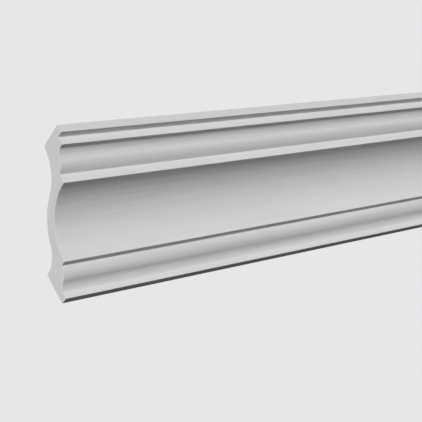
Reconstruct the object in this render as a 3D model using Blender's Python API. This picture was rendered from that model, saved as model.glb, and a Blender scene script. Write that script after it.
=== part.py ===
"""One straight length of cast cornice moulding, which covers the corner between a wall and a ceiling.

Metres, +Z up. The length runs along X and is cut square at both ends. The wall is the plane Y = 0, and
the moulding projects from it towards -Y. Its flat top lies against the ceiling. The origin is the
centre of the flat strip that goes against the wall.
"""
from cmath import rect
from math import acos, atan2, ceil, cos, hypot, pi, radians, sin

import bmesh
import bpy
from mathutils import Vector

LENGTH = 1.0

# Members of the face, from the ceiling down. A fillet is an upright band, and a soffit faces down.
TOP_FILLET = 0.0095
TOP_SOFFIT = 0.008
SECOND_FILLET = 0.0095
SECOND_SOFFIT = 0.0061
CYMA_WIDTH = 0.0194
CYMA_HEIGHT = 0.0185
CYMA_HOLLOW_SHARE = 0.43
CYMA_HOLLOW_BOW = radians(23.5)
CYMA_BULGE_BOW = radians(27.5)
THIRD_FILLET = 0.0105
COVE_RADIUS = 0.0575
BED_SOFFIT = 0.007
REVERSA_WIDTH = 0.0184
REVERSA_HEIGHT = 0.021
REVERSA_BULGE_SHARE = 0.61
REVERSA_BULGE_BOW = radians(31)
REVERSA_HOLLOW_BOW = radians(20)
FOOT_FILLET = 0.0075
FOOT_SOFFIT = 0.0091

# The back: two flat strips that touch the building, and a hollow between them that saves plaster.
WALL_STRIP = 0.036
CEILING_STRIP = 0.021
BACK_SLOPE_WIDTH = 0.0125
BACK_SLOPE_DROP = 0.0018
COVE_WALL = 0.012
UPPER_HOLLOW_RADIUS = 0.048
LOWER_HOLLOW_RADIUS = 0.030

# Finish of the cast: the arrises come out of the mould slightly soft.
ARRIS_RADIUS = 0.0006
ARRIS_STEPS = 3
SHARP_TURN = radians(20)
ARC_STEP = radians(5)

PLASTER_COLOR = (0.79, 0.79, 0.785, 1.0)
PLASTER_ROUGHNESS = 0.85

PROJECTION = (TOP_SOFFIT + SECOND_SOFFIT + CYMA_WIDTH + COVE_RADIUS + BED_SOFFIT
              + REVERSA_WIDTH + FOOT_SOFFIT)
DROP = (TOP_FILLET + SECOND_FILLET + CYMA_HEIGHT + THIRD_FILLET + COVE_RADIUS
        + REVERSA_HEIGHT + FOOT_FILLET)


def clear_scene():
    for obj in list(bpy.data.objects):
        bpy.data.objects.remove(obj, do_unlink=True)


def arc(centre, start, end, turn):
    """Points after start up to end, on the circle around centre that passes through start.

    turn is 1 where the arc runs anticlockwise and -1 where it runs clockwise.
    """
    from_centre = start - centre
    radius = from_centre.length
    first = atan2(from_centre.y, from_centre.x)
    last = atan2(end.y - centre.y, end.x - centre.x)
    sweep = (last - first) * turn % (2 * pi)
    steps = max(2, ceil(sweep / ARC_STEP))
    angles = [first + turn * sweep * i / steps for i in range(1, steps)]
    return [centre + radius * Vector((cos(a), sin(a))) for a in angles] + [end]


def bowed(start, end, bow, turn):
    """Arc from start to end whose ends lean off the chord by the angle bow."""
    chord = end - start
    across = Vector((-chord.y, chord.x)).normalized() * turn
    centre = (start + end) / 2 + across * chord.length / 2 * cos(bow) / sin(bow)
    return arc(centre, start, end, turn)


def ogee(start, end, share, first_bow, second_bow, turn):
    """Two arcs that meet smoothly, the first over the given share of the way.

    The second chord leans off the first by as much as their bows differ.
    """
    chord = complex(*(end - start))
    first = share / (share + rect(1 - share, (first_bow - second_bow) * turn)) * chord
    middle = start + Vector((first.real, first.imag))
    return bowed(start, middle, first_bow, turn) + bowed(middle, end, second_bow, -turn)


def hollow_centre(point, radius, cove_centre, back_radius):
    """Centre of the circle through point that touches the back of the cove wall from outside.

    Of the two such circles, the centre nearer the inner corner of wall and ceiling is the one used.
    """
    reach = back_radius + radius
    to_point = point - cove_centre
    distance = to_point.length
    cosine = (reach ** 2 + distance ** 2 - radius ** 2) / (2 * reach * distance)
    aim = atan2(to_point.y, to_point.x)
    opening = acos(min(cosine, 1.0))
    centres = [cove_centre + reach * Vector((cos(aim + side), sin(aim + side)))
               for side in (opening, -opening)]
    return min(centres, key=lambda centre: centre.x - centre.y)


def face_points():
    """The face from the ceiling to the foot, as (out from the wall, up from the ceiling plane)."""
    at = Vector((PROJECTION, 0.0))
    points = [at]

    def go(back=0.0, down=0.0):
        nonlocal at
        at = at - Vector((back, down))
        return at

    points.append(go(down=TOP_FILLET))
    points.append(go(back=TOP_SOFFIT))
    points.append(go(down=SECOND_FILLET))
    points.append(go(back=SECOND_SOFFIT))
    points += ogee(at, go(CYMA_WIDTH, CYMA_HEIGHT), CYMA_HOLLOW_SHARE, CYMA_HOLLOW_BOW,
                   CYMA_BULGE_BOW, 1)
    points.append(go(down=THIRD_FILLET))
    cove_centre = at - Vector((0.0, COVE_RADIUS))
    points += arc(cove_centre, at, go(COVE_RADIUS, COVE_RADIUS), 1)
    points.append(go(back=BED_SOFFIT))
    points += ogee(at, go(REVERSA_WIDTH, REVERSA_HEIGHT), REVERSA_BULGE_SHARE, REVERSA_BULGE_BOW,
                   REVERSA_HOLLOW_BOW, -1)
    points.append(go(down=FOOT_FILLET))
    points.append(go(back=FOOT_SOFFIT))
    return points, cove_centre


def back_points(cove_centre):
    """The back from the top of the wall strip to the ceiling strip."""
    back_radius = COVE_RADIUS + COVE_WALL
    strip_top = Vector((0.0, WALL_STRIP - DROP))
    strip_back = Vector((PROJECTION - CEILING_STRIP, 0.0))
    hollow_top = strip_back - Vector((BACK_SLOPE_WIDTH, BACK_SLOPE_DROP))
    lower = hollow_centre(strip_top, LOWER_HOLLOW_RADIUS, cove_centre, back_radius)
    upper = hollow_centre(hollow_top, UPPER_HOLLOW_RADIUS, cove_centre, back_radius)
    lower_joint = cove_centre + (lower - cove_centre).normalized() * back_radius
    upper_joint = cove_centre + (upper - cove_centre).normalized() * back_radius
    points = [strip_top]
    points += arc(lower, strip_top, lower_joint, 1)
    points += arc(cove_centre, lower_joint, upper_joint, -1)
    points += arc(upper, upper_joint, hollow_top, 1)
    points.append(strip_back)
    return points


def softened(points):
    """The outline with each sharp corner rounded to the arris radius."""
    result = []
    for index, corner in enumerate(points):
        before = points[index - 1] - corner
        after = points[(index + 1) % len(points)] - corner
        opening = before.angle(after)
        if pi - opening < SHARP_TURN:
            result.append(corner)
            continue
        half = opening / 2
        setback = min(ARRIS_RADIUS * cos(half) / sin(half), 0.4 * before.length, 0.4 * after.length)
        start = corner + before.normalized() * setback
        end = corner + after.normalized() * setback
        middle = (start + end) / 2
        radius = setback * sin(half) / cos(half)
        centre = corner + (middle - corner).normalized() * hypot(setback, radius)
        turn = 1 if before.cross(after) < 0 else -1
        result.append(start)
        first = start - centre
        sweep = turn * (pi - opening)
        for step in range(1, ARRIS_STEPS):
            angle = atan2(first.y, first.x) + sweep * step / ARRIS_STEPS
            result.append(centre + radius * Vector((cos(angle), sin(angle))))
        result.append(end)
    return result


def section_points():
    face, cove_centre = face_points()
    return softened(face + back_points(cove_centre))


def section_curve(name, points):
    """The section as a filled curve, extruded by half the length to each side."""
    curve = bpy.data.curves.new(name, "CURVE")
    curve.dimensions = "2D"
    curve.fill_mode = "BOTH"
    curve.extrude = LENGTH / 2
    spline = curve.splines.new("POLY")
    spline.points.add(len(points) - 1)
    for spot, point in zip(spline.points, points):
        spot.co = (point.x, point.y, 0.0, 1.0)
    spline.use_cyclic_u = True
    return bpy.data.objects.new(name, curve)


def as_mesh_object(source, name, collection):
    """The curve object made a mesh with its caps welded on, at the same place."""
    bpy.context.view_layer.update()
    evaluated = source.evaluated_get(bpy.context.evaluated_depsgraph_get())
    mesh = bpy.data.meshes.new_from_object(evaluated)
    mesh.name = name
    form = bmesh.new()
    form.from_mesh(mesh)
    bmesh.ops.remove_doubles(form, verts=form.verts, dist=0.00001)
    bmesh.ops.recalc_face_normals(form, faces=form.faces)
    form.to_mesh(mesh)
    form.free()
    mesh.shade_smooth()
    mesh.set_sharp_from_angle(angle=radians(30))
    solid = bpy.data.objects.new(name, mesh)
    solid.matrix_world = source.matrix_world
    collection.objects.link(solid)
    bpy.data.objects.remove(source, do_unlink=True)
    return solid


def plaster():
    material = bpy.data.materials.new("cast_plaster")
    material.use_nodes = True
    shader = material.node_tree.nodes["Principled BSDF"]
    shader.inputs["Base Color"].default_value = PLASTER_COLOR
    shader.inputs["Roughness"].default_value = PLASTER_ROUGHNESS
    shader.inputs["Metallic"].default_value = 0.0
    return material


def cornice_length(collection):
    """The moulding itself: the section along X, with its wall strip centred on the origin."""
    curve = section_curve("cornice_section", section_points())
    collection.objects.link(curve)
    curve.location = (0.0, 0.0, DROP - WALL_STRIP / 2)
    curve.rotation_euler = (pi / 2, 0.0, -pi / 2)
    solid = as_mesh_object(curve, "cornice_length", collection)
    solid.data.materials.append(plaster())
    return solid


def main():
    clear_scene()
    collection = bpy.data.collections.new("cornice_moulding")
    bpy.context.scene.collection.children.link(collection)
    cornice_length(collection)


main()
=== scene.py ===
"""The looks of one length of cast cornice moulding: the finished cast, its stage, light and camera.

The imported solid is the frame. Its length, projection and drop set the outer sizes of the cast, and the
settings below hold the members of its section. Metres, +Z up. The length runs along X, the wall is the
plane Y = 0, and the face looks towards -Y and down.
"""
from cmath import rect
from math import acos, atan2, ceil, cos, pi, radians, sin

import bmesh
import bpy
from bpy.props import FloatProperty, FloatVectorProperty, IntProperty, PointerProperty
from bpy.types import Operator, Panel, PropertyGroup
from mathutils import Matrix, Vector, noise


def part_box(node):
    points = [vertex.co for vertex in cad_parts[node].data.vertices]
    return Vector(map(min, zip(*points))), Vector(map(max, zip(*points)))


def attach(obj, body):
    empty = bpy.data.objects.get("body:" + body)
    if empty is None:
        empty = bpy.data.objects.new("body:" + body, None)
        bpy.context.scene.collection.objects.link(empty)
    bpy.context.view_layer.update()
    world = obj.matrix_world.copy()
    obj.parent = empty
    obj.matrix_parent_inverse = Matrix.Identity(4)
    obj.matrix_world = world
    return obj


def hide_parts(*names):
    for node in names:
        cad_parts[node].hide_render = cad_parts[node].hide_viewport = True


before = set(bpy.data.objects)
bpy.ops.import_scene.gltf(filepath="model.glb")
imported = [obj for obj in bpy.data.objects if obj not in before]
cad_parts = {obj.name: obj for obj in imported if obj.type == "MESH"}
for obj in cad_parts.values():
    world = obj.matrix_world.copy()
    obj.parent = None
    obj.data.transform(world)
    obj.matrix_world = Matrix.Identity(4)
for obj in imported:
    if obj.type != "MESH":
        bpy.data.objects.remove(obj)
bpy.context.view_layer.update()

bl_info = {
    "name": "Cornice Moulding Length",
    "version": (1, 0, 0),
    "blender": (4, 5, 0),
    "location": "View3D > Sidebar > Cornice",
    "description": "Casts a length of cornice moulding and sets it in a plain studio",
    "category": "Object",
}

NODE = "cornice_length"
BODY = "root"

LOW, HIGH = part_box(NODE)
LENGTH = HIGH.x - LOW.x
PROJECTION = HIGH.y - LOW.y
DROP = HIGH.z - LOW.z
SIZE_TOLERANCE = 0.0001

# How the outline becomes a mesh: corners sharper than the first angle are rounded to arrises.
ARRIS_ANGLE = radians(160)
ARRIS_STEPS = 4
CUT_EDGE_STEPS = 2
SHADING_BREAK = radians(50)
STROKE_GAP = 0.00001
DOUBLES_GAP = 0.000001

# Waves per metre, along and across, of the wander of the whole cast, and of the drag lines and swells
# that the struck hollow has on top. Each of those two reads its own layer of the noise. The onset is how
# fast they set in as the surface leans away from the strips.
WANDER_WAVES = (9, 16)
DRAG_WAVES = (5, 110)
DRAG_LAYER = 3.0
SWELL_WAVES = (14, 30)
SWELL_LAYER = 9.0
HOLLOW_ONSET = 3

# Slots of the cast's materials, and the leans of a surface that tell them apart.
FACE, ENDS, BACK = range(3)
END_LEAN = 0.9
BACK_LEAN = 0.02

# The three plaster surfaces. Scales are in marks per metre, and depths are in metres. The streaks are
# the drag lines of the mould and of the strike-off, and the saw lines of the cut ends.
# In each table, the air holes are painted towards the darker colour by the given share, as painted shade
# in the pits.
GRAIN_INPUTS = ("Cloud Scale", "Grain Scale", "Hole Scale", "Hole Share")
CAST_SURFACE = {
    "Cloud Scale": 12.0,
    "Grain Scale": 1100.0,
    "Hole Scale": 130.0,
    "Hole Share": 0.06,
    "streak_scale": (9.0, 130.0, 130.0),
    "streak_tone": 0.6,
    "streak_depth": 0.0005,
    "grain_depth": 0.00006,
    "hole_depth": 0.0004,
    "hole_painted_shade": 0.9,
}
SAWN_SURFACE = {
    "Cloud Scale": 40.0,
    "Grain Scale": 1100.0,
    "Hole Scale": 260.0,
    "Hole Share": 0.22,
    "streak_scale": (1.0, 40.0, 700.0),
    "streak_tone": 0.5,
    "streak_depth": 0.00022,
    "grain_depth": 0.00006,
    "hole_depth": 0.0006,
    "hole_painted_shade": 1.0,
}
STRUCK_SURFACE = {
    "Cloud Scale": 18.0,
    "Grain Scale": 900.0,
    "Hole Scale": 150.0,
    "Hole Share": 0.16,
    "streak_scale": (4.0, 160.0, 160.0),
    "streak_tone": 0.5,
    "streak_depth": 0.0008,
    "grain_depth": 0.00012,
    "hole_depth": 0.0008,
    "hole_painted_shade": 1.0,
}
PLASTER_SPECULAR = 0.25
ROUGHNESS_RANGE = (0.78, 0.92)

SENSOR_WIDTH = 36.0
NEAR_CLIP = 0.01
FLOOR_REACH = 3


def size(name, description, default):
    """A length in metres that a user may set."""
    return FloatProperty(name=name, description=description, default=default, min=0.0001,
                         precision=4, unit="LENGTH", subtype="DISTANCE")


def room(name, description, default):
    """A length of the room, in metres."""
    return FloatProperty(name=name, description=description, default=default, min=0.5,
                         unit="LENGTH", subtype="DISTANCE")


def angle(name, description, degrees):
    """An angle that a user may set."""
    return FloatProperty(name=name, description=description, default=radians(degrees), subtype="ANGLE")


def share(name, description, default):
    """A number from 0 to 1 that a user may set."""
    return FloatProperty(name=name, description=description, default=default, min=0.0, max=1.0,
                         subtype="FACTOR")


def color(name, description, default):
    """A colour that a user may set."""
    return FloatVectorProperty(name=name, description=description, default=default, size=3,
                               min=0.0, max=1.0, subtype="COLOR")


def strength(name, description, default):
    """How strong a light is."""
    return FloatProperty(name=name, description=description, default=default, min=0.0)


def direction(name, description, default):
    """Where a light comes from, as seen from the piece."""
    return FloatVectorProperty(name=name, description=description, default=default, size=3,
                               precision=3, subtype="DIRECTION")


class CorniceFaceSettings(PropertyGroup):
    """Members of the face, from the ceiling down."""

    top_fillet: size("Top Fillet", "Height of the upright band at the ceiling", 0.0095)
    top_soffit: size("Top Soffit", "Depth of the step under the top fillet", 0.008)
    second_fillet: size("Second Fillet", "Height of the second upright band", 0.0095)
    second_soffit: size("Second Soffit", "Depth of the step under the second fillet", 0.0061)
    cyma_width: size("Cyma Width", "How far the cyma recta goes back", 0.0194)
    cyma_height: size("Cyma Height", "How far the cyma recta goes down", 0.0185)
    cyma_hollow: share("Cyma Hollow", "Share of the cyma recta that is its hollow", 0.43)
    cyma_hollow_bow: angle("Cyma Hollow Bow", "Lean of each end of the hollow off its chord", 23.5)
    cyma_bulge_bow: angle("Cyma Bulge Bow", "Lean of each end of the bulge off its chord", 27.5)
    third_fillet: size("Third Fillet", "Height of the upright band above the cove", 0.0105)
    cove_radius: size("Cove Radius", "Radius of the quarter circle", 0.0575)
    bed_soffit: size("Bed Soffit", "Depth of the step under the cove", 0.007)
    reversa_width: size("Reversa Width", "How far the cyma reversa goes back", 0.0184)
    reversa_height: size("Reversa Height", "How far the cyma reversa goes down", 0.021)
    reversa_bulge: share("Reversa Bulge", "Share of the cyma reversa that is its bulge", 0.61)
    reversa_bulge_bow: angle("Reversa Bulge Bow", "Lean of each end of the bulge off its chord", 31)
    reversa_hollow_bow: angle("Reversa Hollow Bow", "Lean of each end of the hollow off its chord", 20)
    foot_fillet: size("Foot Fillet", "Height of the upright band at the foot", 0.0075)
    foot_soffit: size("Foot Soffit", "Thickness of the foot, down to the wall", 0.0091)


class CorniceBackSettings(PropertyGroup):
    """The strips that touch the building and the hollow between them."""

    wall_strip: size("Wall Strip", "Height of the flat strip against the wall", 0.036)
    ceiling_strip: size("Ceiling Strip", "Width of the flat strip against the ceiling", 0.021)
    slope_width: size("Slope Width", "Width of the slope behind the ceiling strip", 0.0125)
    slope_drop: size("Slope Drop", "How far that slope falls", 0.0018)
    cove_wall: size("Cove Wall", "Thickness of plaster behind the cove", 0.012)
    upper_hollow: size("Upper Hollow", "Radius of the hollow below the ceiling strip", 0.048)
    lower_hollow: size("Lower Hollow", "Radius of the hollow above the wall strip", 0.030)


class CorniceFinishSettings(PropertyGroup):
    """Softness, evenness and colour of the cast plaster."""

    arris: size("Arris", "Radius of the edges that run along the length", 0.0006)
    cut_edge: size("Cut Edge", "Radius of the edges round each cut end", 0.00025)
    point_gap: size("Point Gap", "Widest gap between points of the section", 0.0012)
    cuts: IntProperty(name="Cuts", description="Rings of points along the length", default=84, min=1)
    face_unevenness: size("Face Unevenness", "How far the cast wanders from true", 0.0001)
    back_unevenness: size("Back Unevenness", "How far its struck hollow does on top of that", 0.0004)
    plaster: color("Plaster", "Colour of the cast face", (0.808, 0.808, 0.803))
    # Each darker colour below is also painted into the air holes of its surface, as painted shade in the
    # pits.
    plaster_shade: color("Plaster Shade", "Colour of its darker clouds", (0.77, 0.77, 0.763))
    sawn: color("Sawn Plaster", "Colour of the cut ends", (0.775, 0.775, 0.768))
    sawn_shade: color("Sawn Shade", "Colour of the darker marks on the cut ends", (0.71, 0.71, 0.7))
    struck: color("Struck Plaster", "Colour of the back", (0.77, 0.767, 0.755))
    struck_shade: color("Struck Shade", "Colour of its darker clouds", (0.7, 0.697, 0.68))


class CorniceStageSettings(PropertyGroup):
    """The room-high stage, the light and the view."""

    ceiling_height: room("Ceiling Height", "Height of the ceiling over the floor", 3.0)
    stage_color: color("Stage Colour", "Colour of the floor and of the air behind", (0.8, 0.8, 0.8))
    floor_glow: share("Floor Glow", "Share of its colour that the floor gives off by itself", 0.3)
    fade_from: room("Fade From", "How far off the floor starts to fade into the air", 4.0)
    fade_to: room("Fade To", "How far off the floor has faded into the air", 24.0)
    ambient: strength("Ambient", "Strength of the even light", 0.015)
    key_strength: strength("Key", "Strength of the light on the face", 3.32)
    key_from: direction("Key From", "Direction of the light on the face", (-0.698, -0.714, -0.048))
    back_strength: strength("Back Light", "Strength of the light on the back", 3.0)
    back_from: direction("Back Light From", "Direction of the light on the back", (0.6, 0.55, 0.58))
    softness: angle("Softness", "Width of each light as the piece sees it", 24)
    face_lean: angle("Face Lean", "How far the view tips the piece back, so its face is upright", 43.65)
    camera_turn: angle("Camera Turn", "How far left of straight on the camera stands", 43.85)
    camera_tilt: angle("Camera Tilt", "How far down the camera looks in the picture", 9.95)
    camera_beyond: size("Camera Beyond", "How far the camera is past the left end", 0.745)
    camera_out: size("Camera Out", "How far the camera is from the wall", 0.9359)
    camera_below: size("Camera Below", "How far the camera is below the ceiling", 0.5947)
    lens: FloatProperty(name="Lens", description="Focal length on a 36 mm sensor", default=105.85,
                        min=1.0, unit="CAMERA")


class SectionPen:
    """Draws the section at the left end, as a chain of points that each stroke carries on.

    Places are (out from the wall, up from the ceiling plane). Turns are positive anticlockwise, as seen
    with the wall on the left.
    """

    def __init__(self, mesh, start, gap):
        self.mesh = mesh
        self.gap = gap
        self.at = Vector(start)
        self.first = mesh.verts.new(self.place(self.at))
        self.tip = self.first

    @staticmethod
    def place(spot):
        return Vector((LOW.x, HIGH.y - spot.x, HIGH.z + spot.y))

    def line_to(self, spot):
        """A straight stroke, in steps no longer than the gap."""
        steps = max(1, ceil((spot - self.at).length / self.gap))
        step = (self.place(spot) - self.place(self.at)) / steps
        for _ in range(steps):
            made = bmesh.ops.extrude_vert_indiv(self.mesh, verts=[self.tip])
            self.tip = made["verts"][0]
            bmesh.ops.translate(self.mesh, verts=[self.tip], vec=step)
        self.at = spot

    def go(self, back=0.0, down=0.0):
        """A straight stroke towards the wall or down."""
        self.line_to(self.at - Vector((back, down)))

    def arc_to(self, centre, end, turn):
        """An arc round centre to end, anticlockwise where turn is 1 and clockwise where it is -1."""
        start = self.at - centre
        finish = end - centre
        sweep = (atan2(finish.y, finish.x) - atan2(start.y, start.x)) * turn % (2 * pi)
        steps = max(2, ceil(sweep * start.length / self.gap))
        made = bmesh.ops.spin(self.mesh, geom=[self.tip], cent=self.place(centre), axis=(-1, 0, 0),
                              angle=sweep * turn, steps=steps)
        self.tip = next(item for item in made["geom_last"] if isinstance(item, bmesh.types.BMVert))
        self.at = end

    def bow_to(self, end, bow, turn):
        """An arc to end whose ends lean off the chord by the angle bow."""
        chord = end - self.at
        across = Vector((-chord.y, chord.x)).normalized() * turn
        self.arc_to((self.at + end) / 2 + across * chord.length / 2 * cos(bow) / sin(bow), end, turn)

    def ogee(self, back, down, first_share, first_bow, second_bow, turn):
        """Two arcs that meet smoothly, the first over the given share of the way.

        The second chord leans off the first by as much as their bows differ.
        """
        both = first_share + rect(1 - first_share, (first_bow - second_bow) * turn)
        first = complex(-back, -down) * first_share / both
        end = self.at - Vector((back, down))
        self.bow_to(self.at + Vector((first.real, first.imag)), first_bow, turn)
        self.bow_to(end, second_bow, -turn)

    def close(self):
        """The last stroke, back to the first point, and the face that fills the outline."""
        self.line_to(Vector((HIGH.y - self.first.co.y, self.first.co.z - HIGH.z)))
        bmesh.ops.remove_doubles(self.mesh, verts=self.mesh.verts, dist=STROKE_GAP)
        bmesh.ops.contextual_create(self.mesh, geom=self.mesh.edges[:])


def draw_face(pen, face):
    """The face, from the front of the ceiling strip down to the wall. Returns the centre of the cove."""
    pen.go(down=face.top_fillet)
    pen.go(back=face.top_soffit)
    pen.go(down=face.second_fillet)
    pen.go(back=face.second_soffit)
    pen.ogee(face.cyma_width, face.cyma_height, face.cyma_hollow, face.cyma_hollow_bow,
             face.cyma_bulge_bow, 1)
    pen.go(down=face.third_fillet)
    cove_centre = pen.at - Vector((0.0, face.cove_radius))
    pen.arc_to(cove_centre, cove_centre - Vector((face.cove_radius, 0.0)), 1)
    pen.go(back=face.bed_soffit)
    pen.ogee(face.reversa_width, face.reversa_height, face.reversa_bulge, face.reversa_bulge_bow,
             face.reversa_hollow_bow, -1)
    pen.go(down=face.foot_fillet)
    pen.go(back=face.foot_soffit)
    return cove_centre


def hollow_centre(point, radius, cove_centre, back_radius):
    """Centre of the circle through point that touches the back of the cove wall from outside.

    Of the two such circles, the centre nearer the inner corner of wall and ceiling is the one used.
    """
    reach = back_radius + radius
    to_point = point - cove_centre
    distance = to_point.length
    cosine = (reach ** 2 + distance ** 2 - radius ** 2) / (2 * reach * distance)
    aim = atan2(to_point.y, to_point.x)
    centres = [cove_centre + reach * Vector((cos(aim + side), sin(aim + side)))
               for side in (acos(cosine), -acos(cosine))]
    return min(centres, key=lambda centre: centre.x - centre.y)


def draw_back(pen, back, cove_centre, cove_radius):
    """The back, from the foot up the wall strip and round the hollow to the ceiling strip."""
    back_radius = cove_radius + back.cove_wall
    strip_top = Vector((0.0, back.wall_strip - DROP))
    strip_back = Vector((PROJECTION - back.ceiling_strip, 0.0))
    hollow_top = strip_back - Vector((back.slope_width, back.slope_drop))
    lower = hollow_centre(strip_top, back.lower_hollow, cove_centre, back_radius)
    upper = hollow_centre(hollow_top, back.upper_hollow, cove_centre, back_radius)
    pen.line_to(strip_top)
    pen.arc_to(lower, cove_centre + (lower - cove_centre).normalized() * back_radius, 1)
    pen.arc_to(cove_centre, cove_centre + (upper - cove_centre).normalized() * back_radius, -1)
    pen.arc_to(upper, hollow_top, 1)
    pen.line_to(strip_back)


def corners(mesh, widest):
    """Points of the outline where its two edges meet at less than the widest angle."""
    found = []
    for vert in mesh.verts:
        one, other = (edge.other_vert(vert).co - vert.co for edge in vert.link_edges)
        if one.angle(other) < widest:
            found.append(vert)
    return found


def run_along(mesh, section, finish):
    """The section drawn out along the length, with rings of points on the way and softened cut edges."""
    made = bmesh.ops.extrude_face_region(mesh, geom=[section])
    far = [item for item in made["geom"] if isinstance(item, bmesh.types.BMVert)]
    bmesh.ops.translate(mesh, verts=far, vec=(LENGTH, 0, 0))
    long_edges = [edge for edge in mesh.edges
                  if abs(edge.verts[0].co.x - edge.verts[1].co.x) > LENGTH / 2]
    bmesh.ops.subdivide_edges(mesh, edges=long_edges, cuts=finish.cuts, use_grid_fill=True)
    rim = {edge for face in mesh.faces if len(face.verts) > 4 for edge in face.edges}
    bmesh.ops.bevel(mesh, geom=list(rim), offset=finish.cut_edge, offset_type="OFFSET",
                    segments=CUT_EDGE_STEPS, profile=0.5, affect="EDGES", material=-1)


def settle(mesh, finish):
    """The slight wander of a hand-cast piece, strongest in the struck hollow at the back."""
    mesh.normal_update()
    for vert in mesh.verts:
        x, y, z = vert.co
        along, across = WANDER_WAVES
        wander = noise.noise(Vector((x * along, y * across, z * across))) * finish.face_unevenness
        hollow = min(max(min(vert.normal.y, vert.normal.z) * HOLLOW_ONSET, 0.0), 1.0)
        if hollow:
            down = y - z
            along, across = DRAG_WAVES
            drag = noise.noise(Vector((x * along, down * across, DRAG_LAYER)))
            along, across = SWELL_WAVES
            swell = noise.noise(Vector((x * along, down * across, SWELL_LAYER)))
            wander += hollow * (drag + swell) / 2 * finish.back_unevenness
        vert.co += vert.normal * wander * (1 - abs(vert.normal.x))


def cast_mesh(face, back, finish):
    """The finished cast as one closed mesh."""
    mesh = bmesh.new()
    pen = SectionPen(mesh, (PROJECTION, 0.0), finish.point_gap)
    cove_centre = draw_face(pen, face)
    if pen.at.x > SIZE_TOLERANCE or abs(pen.at.y + DROP) > SIZE_TOLERANCE:
        raise ValueError("the members of the face don't add up to the projection and drop of the frame")
    draw_back(pen, back, cove_centre, face.cove_radius)
    pen.close()
    bmesh.ops.bevel(mesh, geom=corners(mesh, ARRIS_ANGLE), offset=finish.arris, offset_type="OFFSET",
                    segments=ARRIS_STEPS, profile=0.5, affect="VERTICES", material=-1)
    run_along(mesh, next(iter(mesh.faces)), finish)
    bmesh.ops.remove_doubles(mesh, verts=mesh.verts, dist=DOUBLES_GAP)
    bmesh.ops.recalc_face_normals(mesh, faces=mesh.faces)
    settle(mesh, finish)
    if any(len(edge.link_faces) != 2 for edge in mesh.edges):
        raise ValueError("the cast isn't closed")
    return mesh


def surface_slot(normal):
    """Which of the cast's materials a surface of that lean has."""
    if abs(normal.x) > END_LEAN:
        return ENDS
    if normal.y + normal.z > BACK_LEAN:
        return BACK
    return FACE


def new_node(tree, kind, **values):
    """A node with its plain settings given by name."""
    node = tree.nodes.new(kind)
    for name, value in values.items():
        setattr(node, name, value)
    return node


def feed(tree, value, socket):
    """A number set on a socket, or another socket joined to it."""
    if isinstance(value, (int, float)):
        socket.default_value = value
    else:
        tree.links.new(value, socket)


def noise_node(tree, vector, scale, detail):
    """A noise that reads the vector, at a scale given as a number or a socket."""
    node = new_node(tree, "ShaderNodeTexNoise")
    feed(tree, vector, node.inputs["Vector"])
    feed(tree, scale, node.inputs["Scale"])
    feed(tree, detail, node.inputs["Detail"])
    return node.outputs["Fac"]


def mapped(tree, value, low, high, to_low=0.0, to_high=1.0):
    """The value stretched from one range to another, and held inside it."""
    node = new_node(tree, "ShaderNodeMapRange", clamp=True)
    feed(tree, value, node.inputs["Value"])
    feed(tree, low, node.inputs["From Min"])
    feed(tree, high, node.inputs["From Max"])
    feed(tree, to_low, node.inputs["To Min"])
    feed(tree, to_high, node.inputs["To Max"])
    return node.outputs["Result"]


def maths(tree, operation, first, second):
    """Two numbers or sockets put through one operation."""
    node = new_node(tree, "ShaderNodeMath", operation=operation)
    feed(tree, first, node.inputs[0])
    feed(tree, second, node.inputs[1])
    return node.outputs["Value"]


def bump(tree, height, distance, under=None):
    """A bump of that depth in metres, on top of another where one is given."""
    node = new_node(tree, "ShaderNodeBump")
    feed(tree, distance, node.inputs["Distance"])
    feed(tree, height, node.inputs["Height"])
    if under is not None:
        feed(tree, under, node.inputs["Normal"])
    return node.outputs["Normal"]


def blended_color(tree, factor, light, dark):
    """The light colour where the factor is 0, and the dark one where it is 1."""
    node = new_node(tree, "ShaderNodeMix", data_type="RGBA")
    feed(tree, factor, node.inputs["Factor"])
    first, second = (socket for socket in node.inputs if socket.type == "RGBA")
    first.default_value = (*light, 1.0)
    second.default_value = (*dark, 1.0)
    return next(socket for socket in node.outputs if socket.type == "RGBA")


def plaster_grain_group():
    """Faint clouds, fine grain and scattered air holes, which every plaster surface shares."""
    group = bpy.data.node_groups.new("plaster_grain", "ShaderNodeTree")
    group.interface.new_socket(name="Vector", in_out="INPUT", socket_type="NodeSocketVector")
    for name in GRAIN_INPUTS:
        group.interface.new_socket(name=name, in_out="INPUT", socket_type="NodeSocketFloat")
    for name in ("Clouds", "Grain", "Holes"):
        group.interface.new_socket(name=name, in_out="OUTPUT", socket_type="NodeSocketFloat")
    start = new_node(group, "NodeGroupInput")
    end = new_node(group, "NodeGroupOutput")
    vector = start.outputs["Vector"]
    clouds = noise_node(group, vector, start.outputs["Cloud Scale"], 4.0)
    feed(group, mapped(group, clouds, 0.35, 0.7), end.inputs["Clouds"])
    feed(group, noise_node(group, vector, start.outputs["Grain Scale"], 3.0), end.inputs["Grain"])
    # Each cell has one chance of a hole, and a hole reaches from 5% to 14% of the cells' size.
    cells = new_node(group, "ShaderNodeTexVoronoi")
    feed(group, vector, cells.inputs["Vector"])
    feed(group, start.outputs["Hole Scale"], cells.inputs["Scale"])
    chance = new_node(group, "ShaderNodeSeparateColor")
    feed(group, cells.outputs["Color"], chance.inputs["Color"])
    chosen = maths(group, "LESS_THAN", chance.outputs["Red"], start.outputs["Hole Share"])
    reach = mapped(group, chance.outputs["Green"], 0.0, 1.0, 0.05, 0.14)
    inside = maths(group, "SUBTRACT", 1.0, maths(group, "DIVIDE", cells.outputs["Distance"], reach))
    holes = maths(group, "MULTIPLY", chosen, maths(group, "MAXIMUM", inside, 0.0))
    feed(group, holes, end.inputs["Holes"])
    return group


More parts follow.
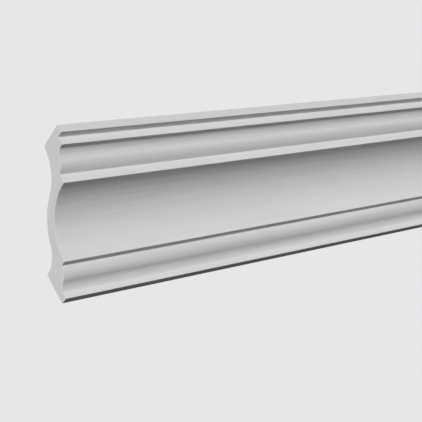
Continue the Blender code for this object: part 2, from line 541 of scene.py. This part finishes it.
def plaster_material(name, grain_group, light, dark, surface):
    """One plaster surface, from its two colours and its values at the top of the file."""
    material = bpy.data.materials.new(name)
    material.use_nodes = True
    tree = material.node_tree
    shader = tree.nodes["Principled BSDF"]
    shader.inputs["Metallic"].default_value = 0.0
    shader.inputs["Specular IOR Level"].default_value = PLASTER_SPECULAR
    place = new_node(tree, "ShaderNodeTexCoord").outputs["Object"]
    grain = new_node(tree, "ShaderNodeGroup", node_tree=grain_group)
    feed(tree, place, grain.inputs["Vector"])
    for socket in GRAIN_INPUTS:
        grain.inputs[socket].default_value = surface[socket]
    stretch = new_node(tree, "ShaderNodeMapping")
    stretch.inputs["Scale"].default_value = surface["streak_scale"]
    feed(tree, place, stretch.inputs["Vector"])
    streaks = noise_node(tree, stretch.outputs["Vector"], 1.0, 5.0)
    clouds = maths(tree, "MULTIPLY", grain.outputs["Clouds"], 1 - surface["streak_tone"])
    lines = maths(tree, "MULTIPLY", mapped(tree, streaks, 0.35, 0.65), surface["streak_tone"])
    # The air holes are painted towards the dark colour, as painted shade in the pits, on top of their
    # sunk bump. The tone takes that painted pit shade wherever it is darker than the random clouds and
    # streaks.
    painted_pit_shade = maths(tree, "MULTIPLY", grain.outputs["Holes"], surface["hole_painted_shade"])
    tone = maths(tree, "MAXIMUM", maths(tree, "ADD", clouds, lines), painted_pit_shade)
    feed(tree, blended_color(tree, tone, light, dark), shader.inputs["Base Color"])
    roughness = mapped(tree, grain.outputs["Grain"], 0.3, 0.7, *ROUGHNESS_RANGE)
    feed(tree, roughness, shader.inputs["Roughness"])
    normal = bump(tree, grain.outputs["Grain"], surface["grain_depth"])
    normal = bump(tree, streaks, surface["streak_depth"], normal)
    sunk = maths(tree, "MULTIPLY", grain.outputs["Holes"], -1.0)
    feed(tree, bump(tree, sunk, surface["hole_depth"], normal), shader.inputs["Normal"])
    return material


def plaster_materials(finish):
    """The cast face, the sawn ends and the struck back, in the order of the cast's material slots."""
    group = plaster_grain_group()
    return (
        plaster_material("plaster_face", group, finish.plaster, finish.plaster_shade, CAST_SURFACE),
        plaster_material("plaster_sawn", group, finish.sawn, finish.sawn_shade, SAWN_SURFACE),
        plaster_material("plaster_struck", group, finish.struck, finish.struck_shade, STRUCK_SURFACE),
    )


class CORNICE_OT_cast_length(Operator):
    """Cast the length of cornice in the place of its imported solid"""

    bl_idname = "cornice.cast_length"
    bl_label = "Cast the Length"

    def execute(self, context):
        scene = context.scene
        finish = scene.cornice_finish
        form = cast_mesh(scene.cornice_face, scene.cornice_back, finish)
        mesh = bpy.data.meshes.new("cornice_cast")
        form.to_mesh(mesh)
        form.free()
        for material in plaster_materials(finish):
            mesh.materials.append(material)
        for polygon in mesh.polygons:
            polygon.material_index = surface_slot(polygon.normal)
        mesh.shade_smooth()
        mesh.set_sharp_from_angle(angle=SHADING_BREAK)
        cast = bpy.data.objects.new("cornice_cast", mesh)
        scene.collection.objects.link(cast)
        weighted = cast.modifiers.new("even_shading", "WEIGHTED_NORMAL")
        weighted.keep_sharp = True
        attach(cast, BODY)
        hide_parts(NODE)
        return {"FINISHED"}


def floor_material(stage):
    """A pale floor that turns into the colour of the air as it runs away from the piece."""
    pale = (*stage.stage_color, 1.0)
    material = bpy.data.materials.new("stage_pale")
    material.use_nodes = True
    tree = material.node_tree
    near = tree.nodes["Principled BSDF"]
    near.inputs["Base Color"].default_value = pale
    near.inputs["Roughness"].default_value = 1.0
    near.inputs["Specular IOR Level"].default_value = 0.0
    near.inputs["Emission Color"].default_value = pale
    near.inputs["Emission Strength"].default_value = stage.floor_glow
    far = new_node(tree, "ShaderNodeEmission")
    far.inputs["Color"].default_value = pale
    away = new_node(tree, "ShaderNodeVectorMath", operation="LENGTH")
    feed(tree, new_node(tree, "ShaderNodeTexCoord").outputs["Object"], away.inputs[0])
    fade = mapped(tree, away.outputs["Value"], stage.fade_from, stage.fade_to)
    mix = new_node(tree, "ShaderNodeMixShader")
    feed(tree, fade, mix.inputs["Fac"])
    feed(tree, near.outputs["BSDF"], mix.inputs[1])
    feed(tree, far.outputs["Emission"], mix.inputs[2])
    feed(tree, mix.outputs["Shader"], tree.nodes["Material Output"].inputs["Surface"])
    return material


def make_floor(scene, stage):
    """A wide floor at the foot of a room of that ceiling height, which throws no light back."""
    form = bmesh.new()
    bmesh.ops.create_grid(form, x_segments=1, y_segments=1, size=stage.fade_to * FLOOR_REACH,
                          matrix=Matrix.Translation((0, 0, HIGH.z - stage.ceiling_height)))
    mesh = bpy.data.meshes.new("stage_floor")
    form.to_mesh(mesh)
    form.free()
    mesh.materials.append(floor_material(stage))
    floor = bpy.data.objects.new("stage_floor", mesh)
    scene.collection.objects.link(floor)
    floor.visible_diffuse = False
    floor.visible_glossy = False
    floor.visible_shadow = False


def make_world(scene, stage):
    """Pale air behind the piece, and an even light on it that is much fainter."""
    world = bpy.data.worlds.new("studio_air")
    world.use_nodes = True
    tree = world.node_tree
    seen = tree.nodes["Background"]
    seen.inputs["Color"].default_value = (*stage.stage_color, 1.0)
    lit = new_node(tree, "ShaderNodeBackground")
    lit.inputs["Strength"].default_value = stage.ambient
    mix = new_node(tree, "ShaderNodeMixShader")
    feed(tree, new_node(tree, "ShaderNodeLightPath").outputs["Is Camera Ray"], mix.inputs["Fac"])
    feed(tree, lit.outputs["Background"], mix.inputs[1])
    feed(tree, seen.outputs["Background"], mix.inputs[2])
    feed(tree, mix.outputs["Shader"], tree.nodes["World Output"].inputs["Surface"])
    scene.world = world


def soft_light(scene, name, towards, power, softness):
    """A soft light from far off. towards points from the piece to the light."""
    light = bpy.data.lights.new(name, "SUN")
    light.energy = power
    light.angle = softness
    lamp = bpy.data.objects.new(name, light)
    lamp.rotation_euler = Vector(towards).to_track_quat("Z", "Y").to_euler()
    scene.collection.objects.link(lamp)


def make_camera(scene, stage):
    """The photograph's view. The piece is tipped there until its face stands upright."""
    camera = bpy.data.objects.new("camera", bpy.data.cameras.new("camera"))
    camera.data.sensor_width = SENSOR_WIDTH
    camera.data.lens = stage.lens
    camera.data.clip_start = NEAR_CLIP
    spot = Vector((LOW.x - stage.camera_beyond, HIGH.y - stage.camera_out, HIGH.z - stage.camera_below))
    aim = (Matrix.Rotation(stage.face_lean, 4, "X") @ Matrix.Rotation(-stage.camera_turn, 4, "Z")
           @ Matrix.Rotation(pi / 2 - stage.camera_tilt, 4, "X"))
    camera.matrix_world = Matrix.Translation(spot) @ aim
    scene.collection.objects.link(camera)
    scene.camera = camera


class CORNICE_OT_stage(Operator):
    """Set the piece in a plain pale studio with soft light and the camera"""

    bl_idname = "cornice.stage"
    bl_label = "Set the Stage"

    def execute(self, context):
        scene = context.scene
        stage = scene.cornice_stage
        make_floor(scene, stage)
        make_world(scene, stage)
        soft_light(scene, "key_light", stage.key_from, stage.key_strength, stage.softness)
        soft_light(scene, "back_light", stage.back_from, stage.back_strength, stage.softness)
        make_camera(scene, stage)
        scene.view_settings.view_transform = "Standard"
        return {"FINISHED"}


class CORNICE_PT_panel(Panel):
    """Lists the steps and their settings in the sidebar"""

    bl_idname = "CORNICE_PT_panel"
    bl_label = "Cornice Moulding"
    bl_space_type = "VIEW_3D"
    bl_region_type = "UI"
    bl_category = "Cornice"

    def draw(self, context):
        layout = self.layout
        for group in SETTINGS:
            box = layout.box()
            settings = getattr(context.scene, group)
            for name in settings.__annotations__:
                box.prop(settings, name)
        layout.operator(CORNICE_OT_cast_length.bl_idname)
        layout.operator(CORNICE_OT_stage.bl_idname)


SETTINGS = {
    "cornice_face": CorniceFaceSettings,
    "cornice_back": CorniceBackSettings,
    "cornice_finish": CorniceFinishSettings,
    "cornice_stage": CorniceStageSettings,
}
CLASSES = (*SETTINGS.values(), CORNICE_OT_cast_length, CORNICE_OT_stage, CORNICE_PT_panel)


def register():
    for cls in CLASSES:
        bpy.utils.register_class(cls)
    for name, cls in SETTINGS.items():
        setattr(bpy.types.Scene, name, PointerProperty(type=cls))


def unregister():
    for name in SETTINGS:
        delattr(bpy.types.Scene, name)
    for cls in reversed(CLASSES):
        bpy.utils.unregister_class(cls)


def main():
    register()
    bpy.ops.cornice.cast_length()
    bpy.ops.cornice.stage()


if __name__ == "__main__":
    main()
